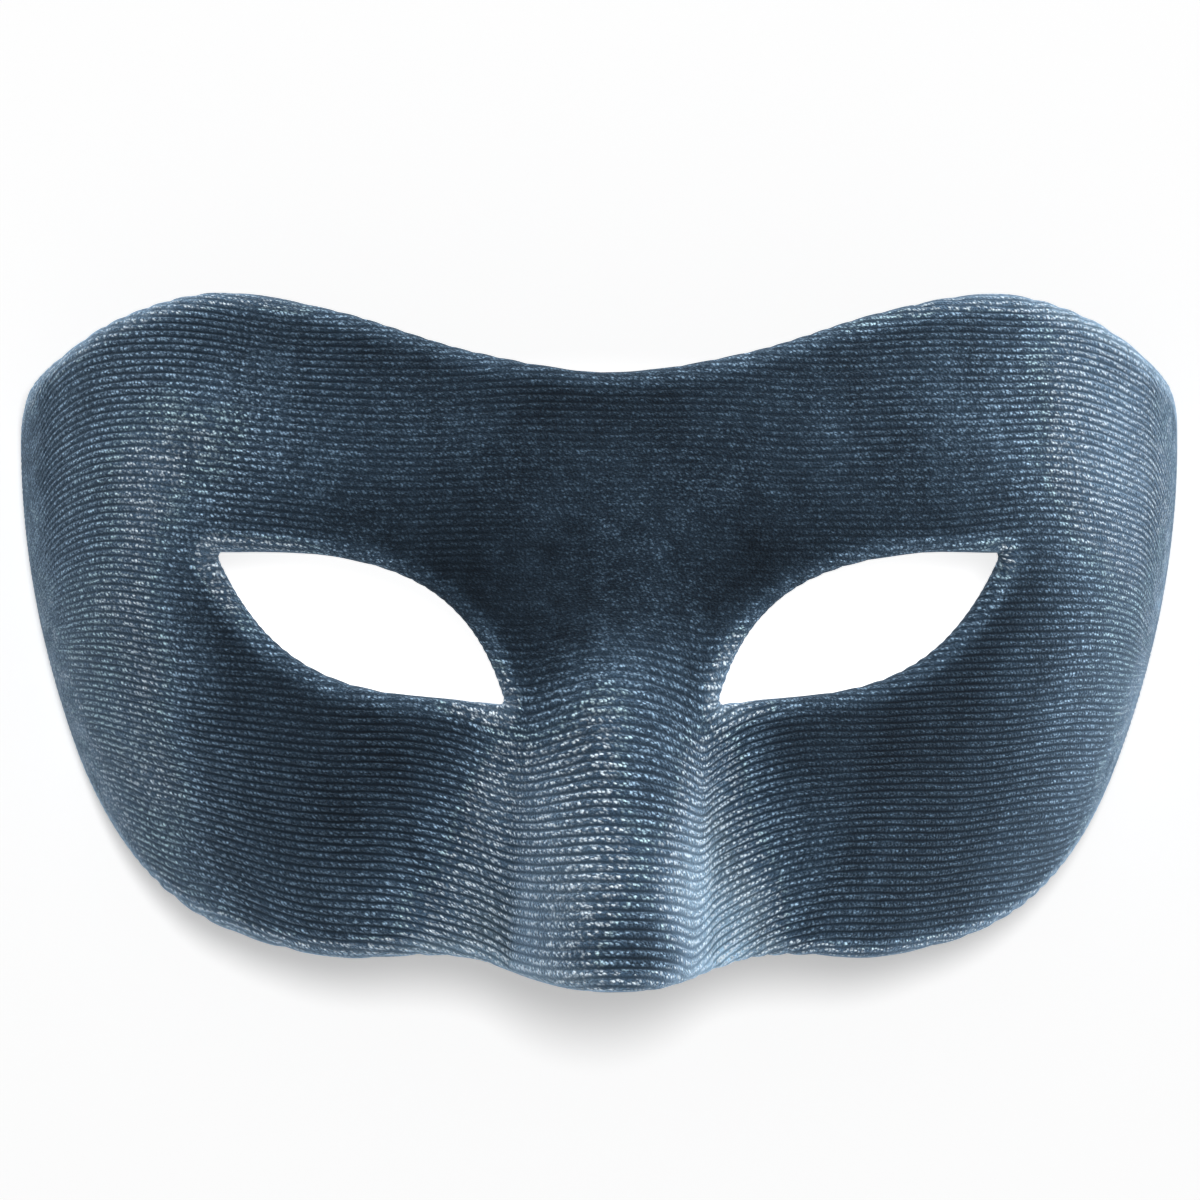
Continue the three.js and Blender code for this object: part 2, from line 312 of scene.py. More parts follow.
def outline_loop():
    """The mask's outline, anticlockwise, so the wall is on its left."""
    low = np.linspace(0, BOTTOM_EDGE[-1][0], 400)
    bottom = np.stack([low, curve_through(BOTTOM_EDGE, low)], -1)
    high = np.linspace(0, TOP_EDGE[-1][0], 400)
    top = np.stack([high, curve_through(TOP_EDGE, high)], -1)
    low_knot = (HALF_ARC, (BOTTOM_EDGE[-1][1] + REST_LOW_Y) / 2)
    high_knot = (HALF_ARC, (TOP_EDGE[-1][1] + REST_HIGH_Y) / 2)
    low_corner = bezier([BOTTOM_EDGE[-1], low_knot, (HALF_ARC, REST_LOW_Y)], 60)
    high_corner = bezier([(HALF_ARC, REST_HIGH_Y), high_knot, TOP_EDGE[-1]], 60)
    half = np.vstack([bottom, low_corner[1:], high_corner, top[::-1][1:-1]])
    mirrored = half[::-1] * (-1, 1)
    return respaced(np.vstack([half, top[:1], mirrored[:-1]]), LOOP_STEP)


def offset_line(line, distance):
    along = unit(np.gradient(line, axis=0))
    return line + distance * np.stack([-along[:, 1], along[:, 0]], -1)


def crossing(first, second, near):
    """Indices of the points where two lines pass closest to each other, searched near a place."""
    a = np.where(np.linalg.norm(first - near, axis=1) < CORNER_SEARCH)[0]
    b = np.where(np.linalg.norm(second - near, axis=1) < CORNER_SEARCH)[0]
    apart = np.linalg.norm(first[a][:, None] - second[b][None], axis=2)
    i, j = np.unravel_index(apart.argmin(), apart.shape)
    return a[i], b[j]


def arc_between(centre, start, end, count=14):
    """An arc about a centre from start to end, the short way."""
    first, last = start - centre, end - centre
    begin = math.atan2(first[1], first[0])
    turn = (math.atan2(last[1], last[0]) - begin + math.pi) % (2 * math.pi) - math.pi
    angle = begin + turn * np.linspace(0, 1, count)[1:-1]
    return centre + EYE_CORNER_R * np.stack([np.cos(angle), np.sin(angle)], -1)


def eye_loop(side):
    """One eye hole's edge with its two corners rounded, clockwise, so the wall is on its left."""
    upper = bezier(EYE_UPPER, 1500)
    lower = bezier(EYE_LOWER, 1500)
    upper_in = offset_line(upper, -EYE_CORNER_R)
    lower_in = offset_line(lower, EYE_CORNER_R)
    inner = crossing(upper_in, lower_in, upper[0])
    outer = crossing(upper_in, lower_in, upper[-1])
    loop = np.vstack([
        upper[inner[0] : outer[0] + 1],
        arc_between(upper_in[outer[0]], upper[outer[0]], lower[outer[1]]),
        lower[inner[1] : outer[1] + 1][::-1],
        arc_between(upper_in[inner[0]], lower[inner[1]], upper[inner[0]]),
    ])
    if side < 0:
        loop = (loop * (-1, 1))[::-1]
    return respaced(loop, LOOP_STEP)


loops = [outline_loop(), eye_loop(1), eye_loop(-1)]
turn_ins = [OUTLINE_TURN_IN, EYE_TURN_IN, EYE_TURN_IN]
bend_columns = np.array(RIB_BENDS, float).T


def rib_height(s, v):
    """The pattern's y where rib coordinate v, the rib's number times the pitch, passes s."""
    nose, ridge, temple, tilt = (
        curve_through(list(zip(bend_columns[0], column)), s) for column in bend_columns[1:]
    )
    low = (NOSE_BEND_V - v) / NOSE_BEND_SPREAD
    sunk = (low + np.sqrt(low * low + 0.015)) / 2
    beside = np.exp(-(((v - BRIDGE_BEND_V) / BRIDGE_BEND_REACH) ** 2))
    lift = (v - TEMPLE_BEND_V) / TEMPLE_BEND_SPREAD
    at_top = 1.1 * lift / (1 + np.abs(lift) ** 3) ** (1 / 3) * np.where(lift > 0, 1, 0.2)
    waves = sum(size * np.sin(s / length + turn * v + start) for size, length, turn, start in RIB_WAVES)
    crowding = np.interp(v, *np.array(RIB_CROWDING, float).T)
    return v + nose * sunk + ridge * beside + temple * at_top + tilt + waves + crowding


rib_table = np.arange(-75, 75, 0.5)


def rib_at(s, y):
    """The rib coordinate at places on the pattern."""
    s, y = np.atleast_1d(s), np.atleast_1d(y)
    heights = rib_height(s[:, None], rib_table[None])
    k = np.clip((heights < y[:, None]).sum(1) - 1, 0, len(rib_table) - 2)
    row = np.arange(len(s))
    low, high = heights[row, k], heights[row, k + 1]
    return rib_table[k] + (y - low) / (high - low) * (rib_table[1] - rib_table[0])


edge = np.vstack(loops)
edge_tree = kdtree.KDTree(len(edge))
for k, (edge_s, edge_y) in enumerate(edge):
    edge_tree.insert((edge_s, edge_y, 0), k)
edge_tree.balance()


def from_edge(s, y):
    """How far places on the pattern are from the nearest edge."""
    return np.array([edge_tree.find((a, b, 0))[2] for a, b in zip(s, y)])


def cloud(s, y, size, seed):
    """A soft random field over the pattern, from -1 to 1."""
    places = zip(np.ravel(s) / size, np.ravel(y) / size)
    values = [noise.noise(Vector((a, b, seed))) for a, b in places]
    return np.reshape(values, np.shape(s))


def in_zones(s, y, zones):
    """The sum of soft oval zones at places on the pattern."""
    return sum(
        strength * np.exp(-(((s - at_s) / reach_s) ** 2) - ((y - at_y) / reach_y) ** 2)
        for strength, at_s, at_y, reach_s, reach_y in zones
    )


def combed(s, y):
    """How upright the pile stands, from near 0 where it is crushed flat to 1."""
    at_temple = smooth_step((np.abs(s) - CRUSHED_FROM_S) / (CRUSHED_TO_S - CRUSHED_FROM_S))
    crushed = in_zones(s, y, CRUSHED_ZONES) + CRUSHED_TEMPLES * at_temple + 0.35 * cloud(s, y, 14.0, 41.0)
    return np.clip(1 - crushed, 0.12, 1)


def pile_mottle_and_painted_sheen(s, y):
    """How bright the pile looks at places on the pattern, as a factor: its own mottling, with painted sheen
    and painted shade.
    """
    mottled = MOTTLED_GLOW * cloud(s, y, 9.0, 51.0)
    mottled += CRUSHED_GLOW * (1 - combed(s, y)) * cloud(s, y, 2.6, 57.0)
    # A painted highlight along every edge of the cloth
    rim = RIM_PAINTED_SHEEN * np.exp(-((from_edge(s, y) / RIM_REACH) ** 2))
    return 2.0 ** (PLAIN_GLOW + mottled + rim + in_zones(s, y, PAINTED_SHEEN_ZONES))


def nap_at(s, y):
    """Both values of the nap at places on the pattern."""
    return np.stack([combed(s, y), pile_mottle_and_painted_sheen(s, y)], -1)


def rib_relief(s, y, v):
    """How far the pile stands over the cloth's mean surface: round ribs, in fuller and thinner patches."""
    crest = np.abs(np.sin(math.pi * v / RIB_PITCH)) ** 0.8
    fullness = 0.9 + 0.22 * cloud(s, y, 7.0, 3.0) + 0.45 * cloud(s, y, 1.9, 13.0)
    fullness = fullness * (0.2 + 0.8 * combed(s, y))
    return RIB_RELIEF * (crest - 0.72) * fullness


def inside_columns(s_column, y_column):
    """For one column of the grid, which of its points lie on the wall."""
    crossings = []
    for loop in loops:
        start, end = loop, np.roll(loop, -1, axis=0)
        hit = (start[:, 0] <= s_column) != (end[:, 0] <= s_column)
        a, b = start[hit], end[hit]
        crossings.extend(a[:, 1] + (s_column - a[:, 0]) / (b[:, 0] - a[:, 0]) * (b[:, 1] - a[:, 1]))
    return np.searchsorted(np.sort(crossings), y_column) % 2 == 1


def trimmed_grid(s_grid, y_grid, margin):
    """Cells of a grid well inside the wall, and triangles that fill the band between them and the loops.

    Returns the flat points, the faces as tuples of their indices, and each loop's indices."""
    columns, rows = s_grid.shape
    inside = np.array([inside_columns(s_grid[i, 0], y_grid[i]) for i in range(columns)])
    inside[inside] = from_edge(s_grid[inside], y_grid[inside]) >= margin
    whole = inside[:-1, :-1] & inside[1:, :-1] & inside[1:, 1:] & inside[:-1, 1:]
    index = np.arange(columns * rows).reshape(columns, rows)
    cells = np.stack([index[:-1, :-1], index[1:, :-1], index[1:, 1:], index[:-1, 1:]], -1)[whole]
    sides = np.sort(np.concatenate([cells[:, [k, (k + 1) % 4]] for k in range(4)]), axis=1)
    sides, counts = np.unique(sides, axis=0, return_counts=True)
    stairs = sides[counts == 1]
    used = np.unique(cells)
    number = np.full(columns * rows, -1)
    number[used] = np.arange(len(used))
    flat = np.vstack([np.stack([s_grid.ravel()[used], y_grid.ravel()[used]], -1), edge])
    faces = [tuple(cell) for cell in number[cells].tolist()]

    rim, at = [], len(used)
    for loop in loops:
        rim.append(np.arange(at, at + len(loop)))
        at += len(loop)
    rim_sides = [(int(a), int(b)) for ring in rim for a, b in zip(ring, np.roll(ring, -1))]
    step_sides = [tuple(pair) for pair in number[stairs].tolist()]
    band = sorted({k for pair in step_sides + rim_sides for k in pair})
    local = {k: n for n, k in enumerate(band)}
    found = geometry.delaunay_2d_cdt(
        [Vector(flat[k]) for k in band],
        [(local[a], local[b]) for a, b in step_sides + rim_sides], [], 0, 1e-7,
    )
    origin = [band[sources[0]] for sources in found[3]]
    triangles = [tuple(origin[k] for k in face) for face in found[2]]
    beside = {}
    for n, (a, b, c) in enumerate(triangles):
        beside[a, b] = beside[b, c] = beside[c, a] = n
    walls = {frozenset(pair) for pair in step_sides + rim_sides}
    waiting = [beside[pair] for pair in rim_sides if pair in beside]
    kept = set(waiting)
    while waiting:
        a, b, c = triangles[waiting.pop()]
        for pair in ((b, a), (c, b), (a, c)):
            if frozenset(pair) not in walls and pair in beside and beside[pair] not in kept:
                kept.add(beside[pair])
                waiting.append(beside[pair])
    faces += [triangles[n] for n in sorted(kept)]
    return flat, faces, rim


def smoothed_ring(values, reach):
    """Values round a closed loop, averaged over a reach in points."""
    span = np.arange(-3 * reach, 3 * reach + 1)
    weights = np.exp(-0.5 * (span / reach) ** 2)
    total = sum(w * np.roll(values, k, axis=0) for w, k in zip(weights, span))
    return total / weights.sum()


def loop_frame(loop):
    """Each loop point's place, wall normal, way out of the wall, and way out on the pattern."""
    place = wall_point(loop[:, 0], loop[:, 1])
    normal = wall_normal(loop[:, 0], loop[:, 1])
    along = np.roll(place, -1, axis=0) - np.roll(place, 1, axis=0)
    out = unit(np.cross(along, normal))
    flat_along = np.roll(loop, -1, axis=0) - np.roll(loop, 1, axis=0)
    flat_out = unit(np.stack([flat_along[:, 1], -flat_along[:, 0]], -1))
    return place, normal, out, flat_out


class Skin:
    """A mesh in the making: points with their place on the cloth and their nap, and unrolled faces."""

    def __init__(self):
        self.points, self.cloth, self.nap, self.faces, self.unrolled = [], [], [], [], []

    def put(self, points, cloth, nap=None):
        """Adds points and returns their numbers."""
        start = len(self.points)
        self.points.extend(points.tolist())
        self.cloth.extend(cloth.tolist())
        self.nap.extend([PLAIN_NAP.tolist()] * len(points) if nap is None else nap.tolist())
        return np.arange(start, start + len(points))

    def sheet(self, faces, ids, flat, low, scale=SHEET_SCALE, flip=False):
        """Faces of a flat sheet, laid out from a height of the unrolled layout up."""
        left_of, low_of = flat[:, 0] - PATTERN_LEFT, flat[:, 1] - PATTERN_LOW
        layout = np.stack([LAYOUT_LEFT + left_of * scale, low + low_of * scale], -1)
        for face in faces:
            face = face[::-1] if flip else face
            self.faces.append([int(ids[k]) for k in face])
            self.unrolled.append([tuple(layout[k]) for k in face])

    def strips(self, rings, low):
        """Quads between following rings, laid out in rows from a height up. Returns the next free height."""
        count = len(rings[0])
        row_height = (len(rings) + 1) * STRIP_RING
        for r in range(1, len(rings)):
            before, after = rings[r - 1], rings[r]
            for k in range(count):
                n = (k + 1) % count
                self.faces.append([int(before[k]), int(after[k]), int(after[n]), int(before[n])])
                left = LAYOUT_LEFT + (k % STRIP_QUADS) * STRIP_QUAD
                top = low + (k // STRIP_QUADS) * row_height + r * STRIP_RING
                right, bottom = left + STRIP_QUAD, top - STRIP_RING
                self.unrolled.append([(left, bottom), (left, top), (right, top), (right, bottom)])
        return low + (count // STRIP_QUADS + 1) * row_height

    def made(self, name, material):
        """The finished object, lying on its back with its lowest points on the floor."""
        points = np.array(self.points)
        points[:, 1] -= MIDDLE_Y
        points[:, 2] = np.maximum(points[:, 2], -REST_DEPTH) + REST_DEPTH
        mesh = bpy.data.meshes.new(name)
        mesh.from_pydata((points * MM).tolist(), [], self.faces)
        corner_of = np.zeros(len(mesh.loops), np.int32)
        mesh.loops.foreach_get("vertex_index", corner_of)
        cloth = mesh.uv_layers.new(name="cloth")
        places = np.array(self.cloth)[corner_of, :2] * CLOTH_SCALE
        cloth.data.foreach_set("uv", places.astype(np.float32).ravel())
        unrolled = mesh.uv_layers.new(name="OFBake")
        flat = [pair for face in self.unrolled for pair in face]
        unrolled.data.foreach_set("uv", np.array(flat, np.float32).ravel())
        pile = mesh.attributes.new("pile", "FLOAT", "POINT")
        pile.data.foreach_set("value", np.array(self.cloth, np.float32)[:, 2])
        for k, label in enumerate(("upright", "mottle_and_painted_sheen")):
            nap = mesh.attributes.new(label, "FLOAT", "POINT")
            nap.data.foreach_set("value", np.array(self.nap, np.float32)[:, k])
        mesh.polygons.foreach_set("use_smooth", [True] * len(mesh.polygons))
        mesh.materials.append(material)
        mesh.update()
        made = bpy.data.objects.new(name, mesh)
        bpy.context.scene.collection.objects.link(made)
        return made


def velvet_cover(material):
    """The velvet: its front in rows along the ribs, its lining, and the rolled edges and strips between."""
    columns = np.arange(-COLUMN_REACH, COLUMN_REACH + 0.1, COLUMN_STEP)
    ribs = np.array(ROWS) * RIB_PITCH / ROWS_PER_RIB
    s_grid, v_grid = np.meshgrid(columns, ribs, indexing="ij")
    least_rise = LEAST_ROW_RISE * np.arange(len(ribs))
    y_grid = np.maximum.accumulate(rib_height(s_grid, v_grid) - least_rise, axis=1) + least_rise
    surface = wall_point(s_grid, y_grid)
    run = np.linalg.norm(np.diff(surface, axis=0), axis=2)
    u_grid = np.concatenate([np.zeros((1, len(ribs))), np.cumsum(run, axis=0)])
    u_grid -= u_grid[len(columns) // 2]

    def cloth_at(s, y):
        """Place on the cloth: along the rib, and across the ribs."""
        v = rib_at(s, y)
        i = np.clip((s - columns[0]) / COLUMN_STEP, 0, len(columns) - 1.001)
        j = np.clip((v - ribs[0]) / (ribs[1] - ribs[0]), 0, len(ribs) - 1.001)
        a, b = i.astype(int), j.astype(int)
        return u_grid[a, b] + (i - a) * (u_grid[a + 1, b] - u_grid[a, b]), v

    flat, faces, rim = trimmed_grid(s_grid, y_grid, margin=0.45)
    s, y = flat.T
    u, v = cloth_at(s, y)
    skin = Skin()
    relief = rib_relief(s, y, v)
    height = (EDGE_R + relief)[:, None]
    front = skin.put(
        wall_point(s, y) + wall_normal(s, y) * height,
        np.stack([u, v, np.ones_like(u)], -1), nap_at(s, y),
    )
    skin.sheet(faces, front, flat, low=0.01)

    coarse = np.meshgrid(np.arange(-112, 113, LINING_STEP), np.arange(-50, 50, LINING_STEP), indexing="ij")
    lining, lining_faces, lining_rim = trimmed_grid(*coarse, margin=1.5)
    lining_place = wall_point(*lining.T) + wall_normal(*lining.T) * INNER_R
    back = skin.put(lining_place, np.zeros((len(lining), 3)))
    skin.sheet(lining_faces, back, lining, low=0.78, scale=LINING_SCALE, flip=True)

    shelf = 0.42
    for loop, ring, lining_ring, turn_in in zip(loops, rim, lining_rim, turn_ins):
        place, normal, out, flat_out = loop_frame(loop)
        eased = unit(smoothed_ring(flat_out, 12))
        loop_u, loop_v = u[ring], v[ring]
        step = 0.5
        du, dv = (
            smoothed_ring((there - here) / step, 7)
            for there, here in zip(cloth_at(*(loop - flat_out * step).T), (loop_u, loop_v))
        )
        around = np.linspace(0, 2 * math.pi, len(loop), endpoint=False)
        raggedness = cloud(54 * np.cos(around), 54 * np.sin(around), 4.0, 11.0)
        raggedness += 0.5 * cloud(loop[:, 0], loop[:, 1], 1.3, 5.0)
        rings = [front[ring]]

        def swept(radius, degrees, beyond, swell):
            """One ring of the velvet as it rolls round the edge, from 0 degrees in front to 180 behind."""
            angle = math.radians(degrees)
            points = place + (normal * math.cos(angle) + out * math.sin(angle)) * (radius + swell)[:, None]
            pile = np.full(len(loop), math.cos(angle / 2))
            cloth = np.stack([loop_u - du * beyond, loop_v - dv * beyond, pile], -1)
            hidden = max(0, (degrees - 60) / 120)
            return skin.put(points, cloth, edge_nap + (PLAIN_NAP - edge_nap) * hidden)

        def turned(depth, share, swell):
            """One ring of the strip behind, at a share of its width and so far below the wall's middle."""
            width = share * (turn_in + RAGGEDNESS * raggedness * share)
            at = loop - unit(flat_out * (1 - share) + eased * share) * width[:, None]
            lift = TURN_IN_LIFT * min(share * 3, 1) + swell
            points = wall_point(*at.T) - wall_normal(*at.T) * (depth + lift)[:, None]
            beyond = math.pi * EDGE_R + width
            cloth = np.stack([loop_u - du * beyond, loop_v - dv * beyond, np.zeros(len(loop))], -1)
            return skin.put(points, cloth)

        edge_relief = relief[ring]
        edge_nap = nap_at(*loop.T)
        for degrees in (30, 60, 90, 120, 150, 180):
            fade = math.cos(math.radians(degrees / 2)) ** 1.5
            rings.append(swept(EDGE_R, degrees, math.radians(degrees) * EDGE_R, edge_relief * fade))
        puckers = PUCKERS * cloud(loop[:, 0], loop[:, 1], 3.0, 21.0)
        for share in (0.12, 0.3, 0.5, 0.7, 0.88, 1.0):
            rings.append(turned(EDGE_R, share, puckers * min(1, 2 * share) * (share < 1)))
        still = np.zeros(len(loop))
        rings += [turned(INNER_R, share, still) for share in (1.0, 0.5)]
        rings += [swept(INNER_R, degrees, 0, still) for degrees in (180, 90)]
        rings.append(back[lining_ring])
        shelf = skin.strips(rings, shelf)
    return skin.made("ribbed_velvet", material)


def moulded_shell(material):
    """The shell: its smooth front, its lumpy back, and the round edges between them."""
    grid = np.meshgrid(
        np.arange(-112.2, 112.3, SHELL_STEP), np.arange(-50.6, 50.7, SHELL_STEP), indexing="ij",
    )
    flat, faces, rim = trimmed_grid(*grid, margin=0.8)
    s, y = flat.T
    place, normal = wall_point(s, y), wall_normal(s, y)
    skin = Skin()
    cloth = np.stack([s, y, np.zeros_like(s)], -1)
    front = skin.put(place + normal * SHELL / 2, cloth)
    lumps = 0.07 * cloud(s, y, 5.0, 31.0) + 0.05 * cloud(s, y, 12.0, 37.0)
    back = skin.put(place - normal * (SHELL / 2 + lumps)[:, None], cloth)
    skin.sheet(faces, front, flat, low=0.01)
    skin.sheet(faces, back, flat, low=0.41, flip=True)
    shelf = 0.82
    for loop, ring in zip(loops, rim):
        loop_place, loop_normal, out, _ = loop_frame(loop)
        rings = [front[ring]]
        for degrees in (45, 90, 135):
            angle = math.radians(degrees)
            rings.append(skin.put(
                loop_place + (loop_normal * math.cos(angle) + out * math.sin(angle)) * SHELL / 2, cloth[ring],
            ))
        rings.append(back[ring])
        shelf = skin.strips(rings, shelf)
    return skin.made("pressed_shell", material)


class Nodes:
    """A short hand for building a material's node tree."""

    def __init__(self, name):
        self.material = bpy.data.materials.new(name)
        self.material.use_nodes = True
        self.tree = self.material.node_tree
        self.shader = self.tree.nodes["Principled BSDF"]

    def add(self, kind, inputs=None, **settings):
        node = self.tree.nodes.new("ShaderNode" + kind)
        for key, value in settings.items():
            setattr(node, key, value)
        for key, value in (inputs or {}).items():
            self.feed(node.inputs[key], value)
        return node

    def feed(self, socket, value):
        if isinstance(value, bpy.types.NodeSocket):
            self.tree.links.new(value, socket)
        else:
            socket.default_value = value

    def math(self, operation, *values, clamp=False):
        node = self.add("Math", operation=operation, use_clamp=clamp)
        for socket, value in zip(node.inputs, values):
            self.feed(socket, value)
        return node.outputs[0]

    def ramp(self, value, low, high, to_low=0.0, to_high=1.0, smooth=True):
        node = self.add("MapRange", interpolation_type="SMOOTHSTEP" if smooth else "LINEAR")
        bounds = {"From Min": low, "From Max": high, "To Min": to_low, "To Max": to_high}
        for key, number in {"Value": value, **bounds}.items():
            self.feed(node.inputs[key], number)
        return node.outputs[0]

    def mix(self, share, first, second, blend="MIX"):
        node = self.add("Mix", data_type="RGBA", blend_type=blend)
        self.feed(node.inputs[0], share)
        self.feed(node.inputs[6], first)
        self.feed(node.inputs[7], second)
        return node.outputs[2]

    def mix_value(self, share, first, second):
        node = self.add("Mix", data_type="FLOAT")
        for socket, value in zip((node.inputs[0], node.inputs[2], node.inputs[3]), (share, first, second)):
            self.feed(socket, value)
        return node.outputs[0]

    def noise(self, place, scale, detail=2.0, roughness=0.5):
        inputs = {"Vector": place, "Scale": scale, "Detail": detail, "Roughness": roughness}
        return self.add("TexNoise", inputs).outputs["Fac"]

    def place(self, x, y, z=0.0):
        return self.add("CombineXYZ", {"X": x, "Y": y, "Z": z}).outputs[0]


def velvet_material():
    n = Nodes("ribbed_velvet")
    cloth = n.add("UVMap", uv_map="cloth").outputs[0]
    parts = n.add("SeparateXYZ", {0: cloth})
    along = n.math("MULTIPLY", parts.outputs[0], 1 / CLOTH_SCALE)
    across = n.math("MULTIPLY", parts.outputs[1], 1 / CLOTH_SCALE)
    pile = n.add("Attribute", attribute_name="pile").outputs["Fac"]
    rib = n.math("DIVIDE", across, RIB_PITCH)
    number = n.math("FLOOR", rib)
    phase = n.math("FRACT", rib)
    crest = n.math("SINE", n.math("MULTIPLY", phase, math.pi))

    # Tufts: small domes of pile in rows, fullest along each rib's crest; their pale colour is a painted
    # highlight on the pile's tips
    shift = n.add("TexWhiteNoise", {"W": number}, noise_dimensions="1D").outputs[0]
    fray = n.noise(n.place(along, across), 2.2, 2.0, 0.6)
    tuft_u = n.math("ADD", n.math("DIVIDE", along, TUFT_STEP), n.math("MULTIPLY", shift, 9.0))
    tuft_u = n.math("ADD", tuft_u, n.math("MULTIPLY", phase, 0.9))
    tuft_v = n.math("ADD", n.math("MULTIPLY", number, 6.3), n.math("MULTIPLY", phase, RIB_PITCH / TUFT_WIDTH))
    tuft_v = n.math("ADD", tuft_v, n.math("MULTIPLY", fray, 1.6))
    cells = n.add("TexVoronoi", {"Vector": n.place(tuft_u, tuft_v), "Scale": 1.0}, voronoi_dimensions="2D")
    dome = n.ramp(cells.outputs["Distance"], 0.62, 0.12)
    luck = n.add("SeparateColor", {0: cells.outputs["Color"]}).outputs[0]

    # Pile crushed in soft patches, and in faint streaks across the ribs
    patches = n.noise(n.place(along, across), 0.07, 3.0, 0.6)
    streaks = n.noise(n.place(along, n.math("MULTIPLY", across, 0.12)), 0.22, 2.0, 0.6)
    fibres = n.noise(n.place(n.math("MULTIPLY", along, 3.2), n.math("MULTIPLY", across, 4.6)), 1.0, 3.0, 0.7)
    worn = n.math("ADD", n.math("MULTIPLY", patches, 0.6), n.math("MULTIPLY", streaks, 0.4))
    upright = n.add("Attribute", attribute_name="upright").outputs["Fac"]

    # The pile's colour is darker in the grooves between the ribs, a painted shade, and paler towards the
    # crests, a painted highlight
    ridge = n.mix_value(upright, 0.42, n.math("POWER", crest, 3.2))
    lit = n.math("MULTIPLY", n.math("MULTIPLY", dome, n.ramp(luck, 0.2, 1.0)), ridge)
    lit = n.math("MULTIPLY", lit, n.ramp(fibres, 0.34, 0.60, 0.15, 1.0))
    shaded_groove = n.mix(n.ramp(worn, 0.35, 0.65), (0.0032, 0.0072, 0.0125, 1), (0.0066, 0.0138, 0.0235, 1))
    sheened_crest = n.mix(n.ramp(worn, 0.35, 0.65), (0.020, 0.038, 0.063, 1), (0.034, 0.062, 0.098, 1))
    crest_sheen_share = n.mix_value(upright, 0.6, n.ramp(crest, 0.1, 0.9))
    body = n.mix(n.math("MULTIPLY", crest_sheen_share, n.ramp(fibres, 0.40, 0.62, 0.10, 1.0)), shaded_groove, sheened_crest)
    # The attribute read here scales the colour. It holds the pile's real mottling, and also painted sheen and
    # painted shade in soft zones and along the edges. Where it is high the body turns paler and whiter, a
    # painted sheen
    mottle_and_painted_sheen = n.add("Attribute", attribute_name="mottle_and_painted_sheen").outputs["Fac"]
    lit = n.math("MULTIPLY", lit, n.math("MULTIPLY", n.math("SQRT", mottle_and_painted_sheen), 1.2), clamp=True)
    body = n.add("VectorMath", {0: body, 3: n.math("POWER", mottle_and_painted_sheen, 0.68)}, operation="SCALE").outputs[0]
    painted_sheen_paling = n.mix(n.ramp(mottle_and_painted_sheen, 2.5, 7.0, smooth=False), (1, 1, 1, 1), (1.5, 1.18, 0.95, 1))
    body = n.mix(1.0, body, painted_sheen_paling, blend="MULTIPLY")
    tufts = n.mix(n.ramp(mottle_and_painted_sheen, 0.5, 3.0, smooth=False), (0.20, 0.34, 0.50, 1), (0.40, 0.53, 0.66, 1))
    tufts = n.add("VectorMath", {0: tufts, 3: mottle_and_painted_sheen}, operation="SCALE").outputs[0]
    tufts = n.add("VectorMath", {0: tufts, 1: (0.78, 0.88, 0.96)}, operation="MINIMUM").outputs[0]
    colour = n.mix(lit, body, tufts)
    n.feed(n.shader.inputs["Base Color"], colour)
    n.feed(n.shader.inputs["Sheen Weight"], n.math("MULTIPLY", mottle_and_painted_sheen, 0.25, clamp=True))

    height = n.math("ADD", n.math("MULTIPLY", dome, ridge), n.math("MULTIPLY", fibres, 0.6))
    flat_ribs = n.math("MULTIPLY", crest, n.math("SUBTRACT", 1.0, pile))
    height = n.math("ADD", height, n.math("MULTIPLY", flat_ribs, 2.0))
    bump = n.add("Bump", {"Strength": 1.0, "Distance": 0.00024, "Height": height})
    n.feed(n.shader.inputs["Normal"], bump.outputs[0])
    n.feed(n.shader.inputs["Roughness"], n.ramp(fibres, 0.2, 0.8, 0.7, 0.95))
    n.shader.inputs["Specular IOR Level"].default_value = 0.08
    n.shader.inputs["Sheen Roughness"].default_value = 0.5
    n.shader.inputs["Sheen Tint"].default_value = (0.51, 0.74, 1.0, 1)
    return n.material


def shell_material():
    n = Nodes("pressed_shell")
    place = n.add("TexCoord").outputs["Object"]
    fibres = n.noise(place, 1800.0, 4.0, 0.7)
    mottle = n.noise(place, 90.0, 4.0, 0.65)
    pulp = n.noise(place, 420.0, 3.0, 0.6)
    paint = n.mix(n.ramp(mottle, 0.3, 0.7), (0.010, 0.012, 0.017, 1), (0.020, 0.024, 0.032, 1))
    rubbed = n.ramp(n.math("MULTIPLY", pulp, mottle), 0.30, 0.42)
    colour = n.mix(n.math("MULTIPLY", rubbed, 0.45), paint, (0.075, 0.078, 0.082, 1))
    n.feed(n.shader.inputs["Base Color"], colour)
    n.feed(n.shader.inputs["Roughness"], n.ramp(pulp, 0.3, 0.7, 0.62, 0.82))
    height = n.math("ADD", pulp, n.math("MULTIPLY", fibres, 0.35))
    bump = n.add("Bump", {"Strength": 0.7, "Distance": 0.00025, "Height": height})
    n.feed(n.shader.inputs["Normal"], bump.outputs[0])
    n.shader.inputs["Specular IOR Level"].default_value = 0.35
    return n.material


